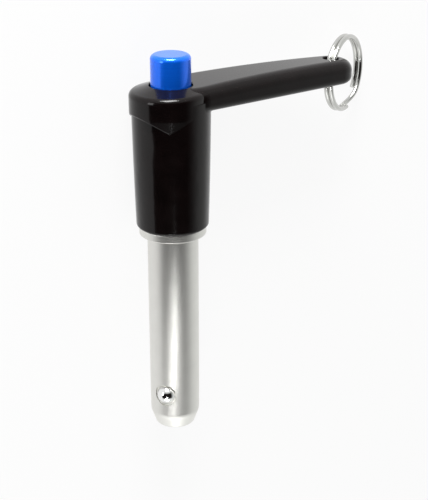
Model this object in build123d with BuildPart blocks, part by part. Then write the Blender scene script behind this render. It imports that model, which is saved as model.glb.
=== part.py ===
from build123d import *
import os
from math import asin, atan, cos, degrees, pi, radians, sin, sqrt, tan

# Ball lock pin with an L handle, lying on its side.
# The pin axis is Y, with the button toward +Y and the nose toward -Y.
# The handle arm points along +X, and +Z is up. All sizes are in millimetres.
# The origin is on the pin axis, in the plane of the shoulder that seats on the work.

# Shank
shank_d = 12.65
grip = 40.6
nose_length = 10.0
bevel_length = 3.6
bevel_depth = 1.35
bevel_round = 4.0
nose_round = 0.7
nose_lead = 0.05
nose_lead_gap = 0.3
bore_d = 5.8
bore_mouth_chamfer = 0.35
shoulder_d = 16.6
shoulder_thickness = 2.0
shoulder_edge = 0.2
shoulder_fillet = 0.3
plug_d = 12.2
plug_length = 20.5
plug_chamfer = 0.5

# Balls and their sockets
ball_d = 4.76
ball_clearance = 0.05
contact_clearance = 0.02
flush_clearance = 0.04
ball_angle = 145.0
lip_clearance = 0.05
lip_depth = 0.75
stake_d = 5.45
stake_width = 0.35
stake_depth = 0.45

# Spindle
spindle_clearance = 0.05
stroke = 4.5
tip_recess = 2.2
tip_chamfer = 0.5
guide_land = 4.0
stem_d = 4.8
stem_taper = 0.6
pilot_d = 4.0
pilot_length = 9.0

# Spring
spring_wire = 0.75
spring_mean_d = 7.1
spring_turns = 6
spring_seat = 8.0
spring_clearance = 0.35

# Button
button_d = 9.7
button_height = 7.2
button_round = 1.15
button_flange_d = 11.8
button_flange_thickness = 2.1
button_stop_gap = 0.1
button_hole_clearance = 0.35

# Handle
boss_bottom_d = 17.85
boss_top_d = 19.05
boss_bow = 0.07
boss_round = 0.8
head_d = 19.1
head_offset = 0.6
head_top = 37.45
head_edge_depth = 1.65
head_slope = 17.75
head_round = 1.4
head_waist_depth = 6.45
head_waist_round = 6.0
head_taper = 7.0
seam_depth = 6.35
seam_slope = 35.0
seam_round = 0.4
lip_height = 7.0
arm_root = 5.0
arm_root_d = 17.4
arm_reach = 48.0
arm_end_d = 11.0
arm_depth = 5.85
arm_depth_gain = 0.57
arm_rise = 0.22
arm_bow = 0.55
arm_top_round = 2.9
arm_bottom_round = 1.8
inner_corner_round = 0.9
button_hole_round = 0.4

# Split ring
ring_hole_d = 4.1
ring_hole_round = 0.35
ring_wire = 1.27
ring_od = 20.2
ring_turn_gap = 0.02
ring_drop = 2.6
ring_droop = 27.0
ring_jog_angle = 46.0
ring_jog_place = 300.0

# Radii and places that follow from the sizes above
shank_r = shank_d / 2
bore_r = bore_d / 2
ball_r = ball_d / 2
land_r = bore_r - spindle_clearance
contact_r = ball_r + contact_clearance
ball_y = -(grip + ball_r)
nose_y = ball_y - nose_length
tip_y = nose_y + tip_recess
ball_out = land_r + contact_r
ball_in = shank_r - flush_clearance - ball_r
ball_travel = ball_out - ball_in
plug_top = shoulder_thickness + plug_length
pocket_r = (spring_mean_d + spring_wire) / 2 + spring_clearance
button_top = head_top + button_height
lip_y = head_top - lip_height
flange_top = lip_y - button_stop_gap
flange_bottom = flange_top - button_flange_thickness
pilot_top = flange_bottom + pilot_length
button_hole_r = button_d / 2 + button_hole_clearance
arm_bottom = head_top - arm_depth
arm_crest = head_top + arm_rise
eye_top = arm_crest - arm_bow
eye_bottom = arm_bottom - arm_depth_gain
eye_middle = (eye_top + eye_bottom) / 2
ring_r = (ring_od - ring_wire) / 2

os.makedirs("parts", exist_ok=True)


def corner_of(sketch, x, y):
    """The corner of a flat sketch that lies nearest to x, y."""
    return sketch.vertices().sort_by_distance((x, y, 0))[0]


def radial_direction(angle):
    """Direction out of the pin axis at an angle from the arm toward the top."""
    return Vector(cos(radians(angle)), 0, sin(radians(angle)))


def radial_section(angle):
    """Plane that holds the pin axis and a ball socket, with its origin at the ball's height."""
    out = radial_direction(angle)
    return Plane(origin=(0, ball_y, 0), x_dir=(0, 1, 0), z_dir=Vector(0, 1, 0).cross(out))


# Tool that presses the ring into the shank round each ball
with BuildPart() as stake_tool:
    for angle in (ball_angle, ball_angle + 180):
        face = Plane(origin=(0, ball_y, 0), x_dir=(0, 1, 0), z_dir=radial_direction(angle))
        with BuildSketch(face):
            Circle((stake_d + stake_width) / 2)
            Circle((stake_d - stake_width) / 2, mode=Mode.SUBTRACT)
        extrude(amount=shank_d)
    with BuildSketch(Plane.XZ.offset(-ball_y - ball_d)):
        Circle(shank_r - stake_depth)
    extrude(amount=2 * ball_d, mode=Mode.SUBTRACT)

# Shank: turned in one piece with its shoulder and the plug inside the handle
with BuildPart() as shank:
    with BuildSketch(Plane.XY) as outline:
        with BuildLine():
            Polyline(
                (bore_r, nose_y),
                (shank_r - bevel_depth, nose_y),
                (shank_r - nose_lead, nose_y + bevel_length),
                (shank_r, nose_lead_gap - grip),
                (shank_r, 0),
                (shoulder_d / 2, 0),
                (shoulder_d / 2, shoulder_thickness),
                (plug_d / 2, shoulder_thickness),
                (plug_d / 2, plug_top),
                (pocket_r, plug_top),
                (pocket_r, spring_seat),
                (bore_r, spring_seat),
                close=True,
            )
        make_face()
        fillet(corner_of(outline, shank_r - bevel_depth, nose_y), nose_round)
        fillet(corner_of(outline, shank_r - nose_lead, nose_y + bevel_length), bevel_round)
        fillet(corner_of(outline, shank_r, 0), shoulder_fillet)
        fillet(corner_of(outline, shoulder_d / 2, 0), shoulder_edge)
        fillet(corner_of(outline, shoulder_d / 2, shoulder_thickness), shoulder_edge)
        chamfer(corner_of(outline, plug_d / 2, plug_top), plug_chamfer)
        chamfer(corner_of(outline, bore_r, nose_y), bore_mouth_chamfer)
    revolve(axis=Axis.Y)
    # Ball sockets: radial holes, drawn in at the mouth to keep the balls
    socket_r = ball_r + ball_clearance
    lip_r = sqrt(ball_r**2 - (shank_r - ball_out) ** 2) + lip_clearance
    for angle in (ball_angle, ball_angle + 180):
        with BuildSketch(radial_section(angle)):
            with BuildLine():
                Polyline(
                    (0, 0),
                    (socket_r, 0),
                    (socket_r, shank_r - lip_depth),
                    (lip_r, shank_r),
                    (lip_r, shank_d),
                    (0, shank_d),
                    close=True,
                )
            make_face()
        revolve(axis=Axis((0, ball_y, 0), radial_direction(angle)), mode=Mode.SUBTRACT)
    add(stake_tool.part, mode=Mode.SUBTRACT)
shank.part.label = "shank"
export_step(shank.part, "parts/shank.step")

# Spindle: its end land holds the balls out, and the ramp above it lets them in
ramp = atan(ball_travel / stroke)
ramp_start = Vector(ball_out - contact_r * cos(ramp), ball_y - contact_r * sin(ramp))
land_end = ramp_start.Y + (ramp_start.X - land_r) / tan(ramp)
ramp_end = Vector(ball_in - contact_r * cos(ramp), ball_y + stroke - contact_r * sin(ramp))
seat_bottom = Vector(ball_in - contact_r, ball_y + stroke)
seat_end = Vector(land_r, ball_y + stroke + sqrt(contact_r**2 - (ball_in - land_r) ** 2))
with BuildPart() as spindle:
    with BuildSketch(Plane.XY) as outline:
        with BuildLine():
            Polyline((0, tip_y), (land_r, tip_y), (land_r, land_end), ramp_end)
            ThreePointArc(ramp_end, seat_bottom, seat_end)
            Polyline(
                seat_end,
                (land_r, seat_end.Y + guide_land),
                (stem_d / 2, seat_end.Y + guide_land + stem_taper),
                (stem_d / 2, flange_bottom),
                (pilot_d / 2, flange_bottom),
                (pilot_d / 2, pilot_top),
                (0, pilot_top),
                (0, tip_y),
            )
        make_face()
        chamfer(corner_of(outline, land_r, tip_y), tip_chamfer)
    revolve(axis=Axis.Y)
spindle.part.label = "spindle"
export_step(spindle.part, "parts/spindle.step")

# Button: its flange stops under the lip of the handle
with BuildPart() as button:
    with BuildSketch(Plane.XY) as outline:
        with BuildLine():
            Polyline(
                (pilot_d / 2, flange_bottom),
                (button_flange_d / 2, flange_bottom),
                (button_flange_d / 2, flange_top),
                (button_d / 2, flange_top),
                (button_d / 2, button_top),
                (0, button_top),
                (0, pilot_top),
                (pilot_d / 2, pilot_top),
                close=True,
            )
        make_face()
        fillet(corner_of(outline, button_d / 2, button_top), button_round)
    revolve(axis=Axis.Y)
button.part.label = "button"
export_step(button.part, "parts/button.step")

# Spring: wound round the spindle, with its ends ground flat on the two seats
with BuildPart() as spring:
    spring_length = flange_bottom - spring_seat
    with BuildLine() as coil:
        Helix(
            pitch=spring_length / spring_turns,
            height=spring_length,
            radius=spring_mean_d / 2,
            center=(0, spring_seat, 0),
            direction=(0, 1, 0),
        )
    with BuildSketch(Plane(origin=coil.line @ 0, z_dir=coil.line % 0)):
        Circle(spring_wire / 2)
    sweep(path=coil.line, is_frenet=True)
    split(bisect_by=Plane.XZ.offset(-spring_seat), keep=Keep.BOTTOM)
    split(bisect_by=Plane.XZ.offset(-flange_bottom), keep=Keep.TOP)
spring.part.label = "spring"
export_step(spring.part, "parts/spring.step")

# Balls: one on each side, held out by the spindle
for number, angle in ((1, ball_angle), (2, ball_angle + 180)):
    with BuildPart() as ball:
        centre = ball_out * radial_direction(angle) + Vector(0, ball_y, 0)
        with Locations(centre):
            Sphere(ball_r)
    ball.part.label = f"ball_{number}"
    export_step(ball.part, f"parts/ball_{number}.step")

# Head of the handle: a round block set a little behind the pin axis, with a coned top.
# It narrows below its waist, and ends in a seam that slopes down from the back.
head_back = head_d / 2 + head_offset
head_peak = head_top - head_edge_depth + head_back * tan(radians(head_slope))
with BuildPart() as head:
    with BuildSketch(Plane.XY.move(Location((-head_offset, 0, 0)))) as outline:
        waist_y = head_top - head_waist_depth
        Polygon(
            (0, 0),
            (head_d / 2 - waist_y * tan(radians(head_taper)), 0),
            (head_d / 2, waist_y),
            (head_d / 2, head_peak),
            (0, head_peak),
            align=None,
        )
        fillet(corner_of(outline, head_d / 2, waist_y), head_waist_round)
    revolve(axis=Axis((-head_offset, 0, 0), (0, 1, 0)))
    with BuildSketch(Plane.XY):
        Polygon((0, 0), (head_peak / tan(radians(head_slope)), 0), (0, head_peak), align=None)
    revolve(axis=Axis.Y, mode=Mode.INTERSECT)
    fillet(head.faces().sort_by(Axis.Y)[-1].edges(), head_round)
    seam_back = (-head_back, head_top - seam_depth, 0)
    seam_normal = (sin(radians(seam_slope)), cos(radians(seam_slope)), 0)
    split(bisect_by=Plane(origin=seam_back, z_dir=seam_normal), keep=Keep.TOP)
    seam = head.faces().filter_by(GeomType.PLANE).sort_by(Axis.Y)[0]
    fillet(seam.edges(), seam_round)

# Handle: one casting with the arm, the head and the boss that takes the shank
with BuildPart() as handle:
    # Arm: narrower toward its end, with a bowed top and a sloping underside
    with BuildSketch(Plane.XZ.offset(-arm_crest)):
        with Locations((arm_root, 0)):
            Circle(arm_root_d / 2)
        with Locations((arm_reach, 0)):
            Circle(arm_end_d / 2)
        make_hull()
    extrude(amount=arm_crest)
    crest_x = arm_reach / 2
    bow_r = (crest_x**2 + arm_bow**2) / (2 * arm_bow)
    bow_angle = degrees(asin((arm_reach + arm_end_d - crest_x) / bow_r))
    with BuildSketch(Plane.XY):
        with BuildLine():
            bow = CenterArc((crest_x, arm_crest - bow_r), bow_r, 90 - bow_angle, 2 * bow_angle)
            tip, back = bow @ 0, bow @ 1
            underside = [(x, arm_bottom - arm_depth_gain * x / arm_reach) for x in (back.X, tip.X)]
            Polyline(back, *underside, tip)
        make_face()
    extrude(amount=arm_root_d, both=True, mode=Mode.INTERSECT)
    fillet(handle.faces().sort_by(Axis.Y)[-1].edges(), arm_top_round)
    fillet(handle.faces().sort_by(Axis.Y)[0].edges(), arm_bottom_round)
    with BuildSketch(Plane.XY) as outline:
        with BuildLine():
            boss_low = (boss_bottom_d / 2, shoulder_thickness)
            boss_high = (boss_top_d / 2, arm_bottom)
            middle = (Vector(*boss_low) + Vector(*boss_high)) / 2
            boss_waist = (middle.X + boss_bow, middle.Y)
            ThreePointArc(boss_low, boss_waist, boss_high)
            Polyline(
                boss_high,
                (boss_high[0], eye_middle),
                (0, eye_middle),
                (0, shoulder_thickness),
                boss_low,
            )
        make_face()
        fillet(corner_of(outline, *boss_low), boss_round)
    revolve(axis=Axis.Y)
    flats = handle.faces().filter_by(GeomType.PLANE)
    arm_underside = flats.sort_by_distance((arm_reach / 2, arm_bottom, 0))[0]
    fillet(arm_underside.edges().sort_by_distance((*boss_high, 0))[0], inner_corner_round)
    add(head.part)
    # Socket for the shank, and the smaller hole that the button comes through
    with BuildSketch(Plane.XZ.offset(-shoulder_thickness)):
        Circle(plug_d / 2)
    extrude(amount=-(lip_y - shoulder_thickness), mode=Mode.SUBTRACT)
    with BuildSketch(Plane.XY):
        with BuildLine():
            rim_y = head_peak - button_hole_r * tan(radians(head_slope))
            rim_start = (button_hole_r, rim_y - button_hole_round)
            rim_end = (button_hole_r + button_hole_round, rim_y)
            TangentArc(rim_start, rim_end, tangent=(0, 1))
            Polyline(
                rim_end,
                (rim_end[0], head_peak),
                (0, head_peak),
                (0, lip_y),
                (button_hole_r, lip_y),
                rim_start,
            )
        make_face()
    revolve(axis=Axis.Y, mode=Mode.SUBTRACT)
    # Hole for the split ring
    with BuildSketch(Plane.XZ.offset(-arm_crest)):
        with Locations((arm_reach, 0)):
            Circle(ring_hole_d / 2)
    extrude(amount=arm_crest, mode=Mode.SUBTRACT)
    walls = handle.faces().filter_by(GeomType.CYLINDER)
    eye_wall = walls.sort_by_distance((arm_reach, eye_middle, 0))[0]
    fillet(eye_wall.edges().filter_by(GeomType.LINE, reverse=True), ring_hole_round)
handle.part.label = "handle"
export_step(handle.part, "parts/handle.step")

# Split ring: two turns of round wire that cross over once
ring_out = Vector(cos(radians(ring_droop)), 0, -sin(radians(ring_droop)))
ring_side = (ring_r + sqrt(ring_r**2 - (eye_top - eye_middle + ring_drop) ** 2)) / 2
ring_centre = Vector(arm_reach, eye_middle - ring_drop, 0) + ring_side * ring_out
ring_plane = Plane(origin=ring_centre, x_dir=ring_out, z_dir=ring_out.cross(Vector(0, 1, 0)))
half_step = (ring_wire + ring_turn_gap) / 2


def on_ring(angle, side):
    """Point on the ring's wire at an angle, from side -1, the near turn, to side 1, the far one."""
    local = Vector(ring_r * cos(radians(angle)), ring_r * sin(radians(angle)), side * half_step)
    return ring_plane.from_local_coords(local)


with BuildPart() as split_ring:
    jog_start = ring_jog_place - ring_jog_angle / 2
    jog_end = ring_jog_place + ring_jog_angle / 2
    turn = 360 - ring_jog_angle
    with BuildLine() as wire:
        ThreePointArc(*[on_ring(jog_start - turn * part, -1) for part in (1, 0.5, 0)])
        steps = (0, 0.25, 0.5, 0.75, 1)
        crossing = [on_ring(jog_start + ring_jog_angle * step, -cos(pi * step)) for step in steps]
        first = (on_ring(jog_start + 90, -1) - on_ring(jog_start - 90, -1)).normalized()
        last = (on_ring(jog_end + 90, 1) - on_ring(jog_end - 90, 1)).normalized()
        Spline(*crossing, tangents=(first, last))
        ThreePointArc(*[on_ring(jog_end + turn * part, 1) for part in (0, 0.5, 1)])
    with BuildSketch(Plane(origin=wire.line @ 0, z_dir=wire.line % 0)):
        Circle(ring_wire / 2)
    sweep(path=wire.line)
split_ring.part.label = "split_ring"
export_step(split_ring.part, "parts/split_ring.step")
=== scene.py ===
import math

import bpy
from mathutils import Matrix, Vector


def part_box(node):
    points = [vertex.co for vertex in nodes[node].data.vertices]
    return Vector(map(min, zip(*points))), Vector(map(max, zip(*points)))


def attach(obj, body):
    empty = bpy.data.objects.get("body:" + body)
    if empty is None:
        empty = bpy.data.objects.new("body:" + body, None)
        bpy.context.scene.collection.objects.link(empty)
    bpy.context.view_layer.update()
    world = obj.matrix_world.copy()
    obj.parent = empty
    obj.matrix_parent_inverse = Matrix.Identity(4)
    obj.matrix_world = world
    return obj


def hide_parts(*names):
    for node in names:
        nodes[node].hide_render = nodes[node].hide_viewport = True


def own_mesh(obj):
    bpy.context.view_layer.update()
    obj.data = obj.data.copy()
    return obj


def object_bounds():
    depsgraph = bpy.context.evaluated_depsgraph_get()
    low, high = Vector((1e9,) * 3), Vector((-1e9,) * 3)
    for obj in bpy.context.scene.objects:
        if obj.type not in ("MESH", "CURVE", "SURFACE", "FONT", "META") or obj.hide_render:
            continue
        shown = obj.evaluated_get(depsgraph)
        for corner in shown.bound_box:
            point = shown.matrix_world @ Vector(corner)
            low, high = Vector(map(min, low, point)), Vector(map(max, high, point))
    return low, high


# Ball lock pin, lying on its side. Metres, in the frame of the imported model:
# the pin axis is Y with the button toward +Y, the arm points along +X, and +Z is up.
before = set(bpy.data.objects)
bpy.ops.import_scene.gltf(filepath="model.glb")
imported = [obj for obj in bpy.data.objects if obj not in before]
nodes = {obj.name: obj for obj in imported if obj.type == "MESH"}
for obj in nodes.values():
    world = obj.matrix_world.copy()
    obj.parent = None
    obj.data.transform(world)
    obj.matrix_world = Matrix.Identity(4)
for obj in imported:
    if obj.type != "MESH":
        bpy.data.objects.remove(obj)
cad_low, cad_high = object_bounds()
mm = 0.001

# Camera: the photograph's view of the pin, which there stands upright
image_height = 500
focal_px = 1230
sensor = 36
clip_near, clip_far = 0.01, 20
view_pitch = math.radians(22.6)
arm_turn = math.radians(33.5)
camera_right, camera_up, camera_back = 10.17 * mm, -4.57 * mm, 304.12 * mm

# Spring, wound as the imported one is
spring_wire = 0.75 * mm
spring_turns = 6
points_per_turn = 48

# Finishes: heights of the bumps
grain_height = 0.04 * mm
scratch_height = 0.03 * mm

# Floor: its size, its own grey, and how much of it is plain white to the camera and in reflections
floor_size = 3.0
floor_grey = 0.92
floor_rough = 0.9
floor_white = 0.9

# Studio round the pin: where its dark front ends, and where it turns bright beside and beyond the pin
dark_end, bright_end = 0.40, 0.74
dark_side, bright_side = 0.66, -0.10
dim_colour, bright_colour = (0.012, 0.010, 0.010), (0.86, 0.87, 0.86)

# Lamps: widths and heights in metres, and powers in watts
head_y = 37 * mm
overhead_size, overhead_power = (0.22, 0.22), 4.0
overhead_distance, overhead_lean = 0.45, math.radians(15)
strip_size, strip_power = (0.008, 0.095), 0.055
strip_front, strip_drop, strip_aim = 0.20, 0.132, 0.03
foot_size, foot_power = (0.40, 0.30), 0.35
foot_front, foot_drop = 0.25, 0.45
side_size, side_power = (0.25, 0.35), 1.2
side_left, side_front, side_rise = 0.40, 0.20, 0.10


def link(obj):
    """Put a new object into the scene."""
    bpy.context.scene.collection.objects.link(obj)
    return obj


def camera():
    """Camera at the place fitted to the photograph. Returns its right and the level way toward it."""
    right = Vector((math.cos(arm_turn), 0, math.sin(arm_turn)))
    front = Vector((-math.sin(arm_turn), 0, math.cos(arm_turn)))
    back = math.cos(view_pitch) * front + math.sin(view_pitch) * Vector((0, 1, 0))
    up = back.cross(right)
    place = camera_right * right + camera_up * up + camera_back * back
    data = bpy.data.cameras.new("camera")
    data.sensor_width = sensor
    data.lens = sensor * focal_px / image_height
    data.clip_start, data.clip_end = clip_near, clip_far
    obj = link(bpy.data.objects.new("camera", data))
    obj.matrix_world = Matrix.Translation(place) @ Matrix((right, up, back)).transposed().to_4x4()
    bpy.context.scene.camera = obj
    return right, front


def new_material(name):
    """A new material, with its node tree and its shader."""
    material = bpy.data.materials.new(name)
    material.use_nodes = True
    tree = material.node_tree
    return material, tree, tree.nodes["Principled BSDF"]


def noise(tree, scale, stretch=(1, 1, 1), detail=3.0):
    """Noise over the object, with the texture space stretched along the axes."""
    coordinates = tree.nodes.new("ShaderNodeTexCoord")
    mapping = tree.nodes.new("ShaderNodeMapping")
    mapping.inputs["Scale"].default_value = stretch
    texture = tree.nodes.new("ShaderNodeTexNoise")
    texture.inputs["Scale"].default_value = scale
    texture.inputs["Detail"].default_value = detail
    tree.links.new(coordinates.outputs["Object"], mapping.inputs["Vector"])
    tree.links.new(mapping.outputs["Vector"], texture.inputs["Vector"])
    return texture.outputs["Fac"]


def ramp(tree, value, low, high):
    """Value from 0 to 1 turned into a range."""
    node = tree.nodes.new("ShaderNodeMapRange")
    node.inputs["To Min"].default_value = low
    node.inputs["To Max"].default_value = high
    tree.links.new(value, node.inputs["Value"])
    return node.outputs["Result"]


def tint(tree, value, dark, light):
    """Colour between two, by a value."""
    node = tree.nodes.new("ShaderNodeMix")
    node.data_type = "RGBA"
    node.inputs["A"].default_value = (*dark, 1)
    node.inputs["B"].default_value = (*light, 1)
    tree.links.new(value, node.inputs["Factor"])
    return node.outputs["Result"]


def finish(tree, shader, colour, roughness):
    """Lead a colour and a roughness into a shader."""
    tree.links.new(colour, shader.inputs["Base Color"])
    tree.links.new(roughness, shader.inputs["Roughness"])


def bump(tree, shader, height, strength, distance):
    """Bump from a height, onto a shader."""
    node = tree.nodes.new("ShaderNodeBump")
    node.inputs["Strength"].default_value = strength
    node.inputs["Distance"].default_value = distance
    tree.links.new(height, node.inputs["Height"])
    tree.links.new(node.outputs["Normal"], shader.inputs["Normal"])


def black_anodised():
    """Cast and tumbled handle, anodised black: almost black, smooth, with a faint mottle."""
    material, tree, shader = new_material("black_anodised")
    mottle = noise(tree, 260, detail=4)
    grain = noise(tree, 2200, detail=2)
    colour = tint(tree, mottle, (0.0012, 0.0008, 0.0008), (0.0060, 0.0034, 0.0034))
    finish(tree, shader, colour, ramp(tree, mottle, 0.10, 0.17))
    shader.inputs["IOR"].default_value = 1.33
    bump(tree, shader, grain, 0.05, grain_height)
    return material


def blue_anodised():
    """Turned button, anodised blue, under a clear sealed layer."""
    material, tree, shader = new_material("blue_anodised")
    turning = noise(tree, 900, stretch=(0.05, 3, 0.05), detail=2)
    colour = tint(tree, turning, (0.002, 0.12, 0.82), (0.004, 0.17, 0.98))
    finish(tree, shader, colour, ramp(tree, turning, 0.16, 0.24))
    shader.inputs["Metallic"].default_value = 0.45
    shader.inputs["Coat Weight"].default_value = 0.2
    shader.inputs["Coat Roughness"].default_value = 0.06
    bump(tree, shader, turning, 0.06, scratch_height)
    return material


def turned_steel(name, dark, light, smooth, rough, groove):
    """Stainless steel turned round the pin axis: fine rings that draw reflections out along it."""
    material, tree, shader = new_material(name)
    rings = noise(tree, 1500, stretch=(0.03, 4, 0.03), detail=3)
    mottle = noise(tree, 300, detail=2)
    finish(tree, shader, tint(tree, mottle, dark, light), ramp(tree, rings, smooth, rough))
    shader.inputs["Metallic"].default_value = 1
    shader.inputs["Anisotropic"].default_value = 0.85
    tangent = tree.nodes.new("ShaderNodeTangent")
    tangent.direction_type = "RADIAL"
    tangent.axis = "Y"
    tree.links.new(tangent.outputs["Tangent"], shader.inputs["Tangent"])
    bump(tree, shader, rings, groove, grain_height)
    return material


def bright_steel(name, colour, smooth, rough, scuff):
    """Polished or drawn steel, with faint scuffs that are a little darker than the rest."""
    material, tree, shader = new_material(name)
    scuffs = noise(tree, 1200, detail=4)
    dark = tuple(0.93 * part for part in colour)
    finish(tree, shader, tint(tree, scuffs, dark, colour), ramp(tree, scuffs, smooth, rough))
    shader.inputs["Metallic"].default_value = 1
    bump(tree, shader, scuffs, scuff, scratch_height)
    return material


def dress(node, material):
    """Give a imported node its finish."""
    obj = nodes[node]
    obj.data.materials.clear()
    obj.data.materials.append(material)
    smooth(obj.data)


def smooth(mesh):
    """Shade a mesh as one smooth surface, apart from its own sharp edges."""
    for polygon in mesh.polygons:
        polygon.use_smooth = True


def coil_spring(material):
    """The spring as a wound wire, in place of the imported spring and fixed to the pin's body."""
    low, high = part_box("spring")
    mean_r = (high.x - low.x) / 2 - spring_wire / 2
    length = high.y - low.y
    curve = bpy.data.curves.new("coil_spring", "CURVE")
    curve.dimensions = "3D"
    curve.bevel_depth = spring_wire / 2
    curve.bevel_resolution = 4
    curve.use_fill_caps = True
    spline = curve.splines.new("POLY")
    count = spring_turns * points_per_turn + 1
    spline.points.add(count - 1)
    run = length - spring_wire
    for i in range(count):
        share = i / (count - 1)
        angle = 2 * math.pi * spring_turns * share
        spline.points[i].co = (
            mean_r * math.cos(angle),
            low.y + spring_wire / 2 + run * share,
            -mean_r * math.sin(angle),
            1,
        )
    wound = link(bpy.data.objects.new("coil_path", curve))
    bpy.context.view_layer.update()
    evaluated = wound.evaluated_get(bpy.context.evaluated_depsgraph_get())
    mesh = bpy.data.meshes.new_from_object(evaluated)
    bpy.data.objects.remove(wound)
    mesh.materials.clear()
    mesh.materials.append(material)
    smooth(mesh)
    spring = link(bpy.data.objects.new("coil_spring", mesh))
    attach(spring, "body")
    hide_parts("spring")
    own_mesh(spring)


def math_node(tree, operation, *values):
    """Result of a sum on linked values and plain numbers."""
    node = tree.nodes.new("ShaderNodeMath")
    node.operation = operation
    for socket, value in zip(node.inputs, values):
        if isinstance(value, (int, float)):
            socket.default_value = value
        else:
            tree.links.new(value, socket)
    return node.outputs[0]


def studio_floor():
    """Pale floor under the pin: white to the camera and in reflections, with the pin's shadow kept."""
    half = floor_size / 2
    z = cad_low.z
    corners = [(-half, -half, z), (half, -half, z), (half, half, z), (-half, half, z)]
    mesh = bpy.data.meshes.new("floor")
    mesh.from_pydata(corners, [], [(0, 1, 2, 3)])
    material, tree, shader = new_material("floor_white")
    shader.inputs["Base Color"].default_value = (floor_grey, floor_grey, floor_grey, 1)
    shader.inputs["Roughness"].default_value = floor_rough
    shader.inputs["Specular IOR Level"].default_value = 0
    glow = tree.nodes.new("ShaderNodeEmission")
    glow.inputs["Color"].default_value = (1, 1, 1, 1)
    path = tree.nodes.new("ShaderNodeLightPath")
    seen = math_node(tree, "MAXIMUM", path.outputs["Is Camera Ray"], path.outputs["Is Glossy Ray"])
    mix = tree.nodes.new("ShaderNodeMixShader")
    tree.links.new(math_node(tree, "MULTIPLY", seen, floor_white), mix.inputs["Fac"])
    tree.links.new(shader.outputs[0], mix.inputs[1])
    tree.links.new(glow.outputs[0], mix.inputs[2])
    tree.links.new(mix.outputs[0], tree.nodes["Material Output"].inputs["Surface"])
    mesh.materials.append(material)
    link(bpy.data.objects.new("floor", mesh))


def smooth_share(tree, value, start, end):
    """Share from 0 to 1 as a value goes from start to end."""
    share = tree.nodes.new("ShaderNodeMapRange")
    share.interpolation_type = "SMOOTHSTEP"
    share.inputs["From Min"].default_value = start
    share.inputs["From Max"].default_value = end
    tree.links.new(value, share.inputs["Value"])
    return share.outputs["Result"]


def end_share(tree, direction):
    """How bright the studio is toward the two ends of the pin."""
    axes = tree.nodes.new("ShaderNodeSeparateXYZ")
    tree.links.new(direction, axes.inputs[0])
    return smooth_share(tree, math_node(tree, "ABSOLUTE", axes.outputs["Y"]), dark_end, bright_end)


def side_share(tree, direction, front):
    """How bright the studio is away from its dark front."""
    facing = tree.nodes.new("ShaderNodeVectorMath")
    facing.operation = "DOT_PRODUCT"
    facing.inputs[1].default_value = front
    tree.links.new(direction, facing.inputs[0])
    return smooth_share(tree, facing.outputs["Value"], dark_side, bright_side)


def studio_world(front):
    """Studio round the pin: dark in front, bright beside and beyond it, and white to the camera."""
    world = bpy.data.worlds.new("studio")
    bpy.context.scene.world = world
    world.use_nodes = True
    tree = world.node_tree
    background = tree.nodes["Background"]
    direction = tree.nodes.new("ShaderNodeTexCoord").outputs["Generated"]
    ends, sides = end_share(tree, direction), side_share(tree, direction, front)
    colour = tint(tree, math_node(tree, "MAXIMUM", ends, sides), dim_colour, bright_colour)
    tree.links.new(colour, background.inputs["Color"])
    white = tree.nodes.new("ShaderNodeBackground")
    white.inputs["Color"].default_value = (1, 1, 1, 1)
    path = tree.nodes.new("ShaderNodeLightPath")
    mix = tree.nodes.new("ShaderNodeMixShader")
    tree.links.new(path.outputs["Is Camera Ray"], mix.inputs["Fac"])
    tree.links.new(background.outputs[0], mix.inputs[1])
    tree.links.new(white.outputs[0], mix.inputs[2])
    tree.links.new(mix.outputs[0], tree.nodes["World Output"].inputs["Surface"])


def softbox(name, place, target, size, power):
    """Rectangular area lamp at a place, facing a target."""
    data = bpy.data.lights.new(name, "AREA")
    data.shape = "RECTANGLE"
    data.size, data.size_y = size
    data.energy = power
    lamp = link(bpy.data.objects.new(name, data))
    lamp.location = place
    lamp.rotation_mode = "QUATERNION"
    lamp.rotation_quaternion = (place - target).to_track_quat("Z", "Y")


def studio_lamps(right, front):
    """Soft boxes over the button, at the left and beyond the nose, and a strip before the shank."""
    middle = Vector((0, 0, 0))
    along = Vector((0, 1, 0))
    head = head_y * along
    overhead = math.cos(overhead_lean) * along + math.sin(overhead_lean) * front
    strip = strip_front * front - strip_drop * along
    foot = foot_front * front - foot_drop * along
    side = side_front * front + side_rise * along - side_left * right
    softbox("overhead", head + overhead_distance * overhead, head, overhead_size, overhead_power)
    softbox("strip", strip, -strip_aim * along, strip_size, strip_power)
    softbox("foot", foot, middle, foot_size, foot_power)
    softbox("side", side, middle, side_size, side_power)


right, front = camera()
finish_black = black_anodised()
finish_blue = blue_anodised()
finish_shank = turned_steel("shank_steel", (0.76, 0.755, 0.72), (0.82, 0.815, 0.78), 0.30, 0.38, 0.08)
finish_spindle = turned_steel("spindle_steel", (0.5, 0.49, 0.47), (0.6, 0.59, 0.57), 0.25, 0.40, 0.15)
finish_ball = bright_steel("ball_steel", (0.86, 0.86, 0.85), 0.04, 0.08, 0.01)
finish_ring = bright_steel("ring_steel", (0.60, 0.60, 0.58), 0.12, 0.20, 0.01)
finish_spring = bright_steel("spring_steel", (0.5, 0.5, 0.5), 0.22, 0.34, 0.03)
dress("handle", finish_black)
dress("button", finish_blue)
dress("shank", finish_shank)
dress("spindle", finish_spindle)
dress("ball_1", finish_ball)
dress("ball_2", finish_ball)
dress("split_ring", finish_ring)
dress("spring", finish_spring)
coil_spring(finish_spring)
studio_floor()
studio_world(front)
studio_lamps(right, front)
bpy.context.scene.view_settings.view_transform = "Standard"
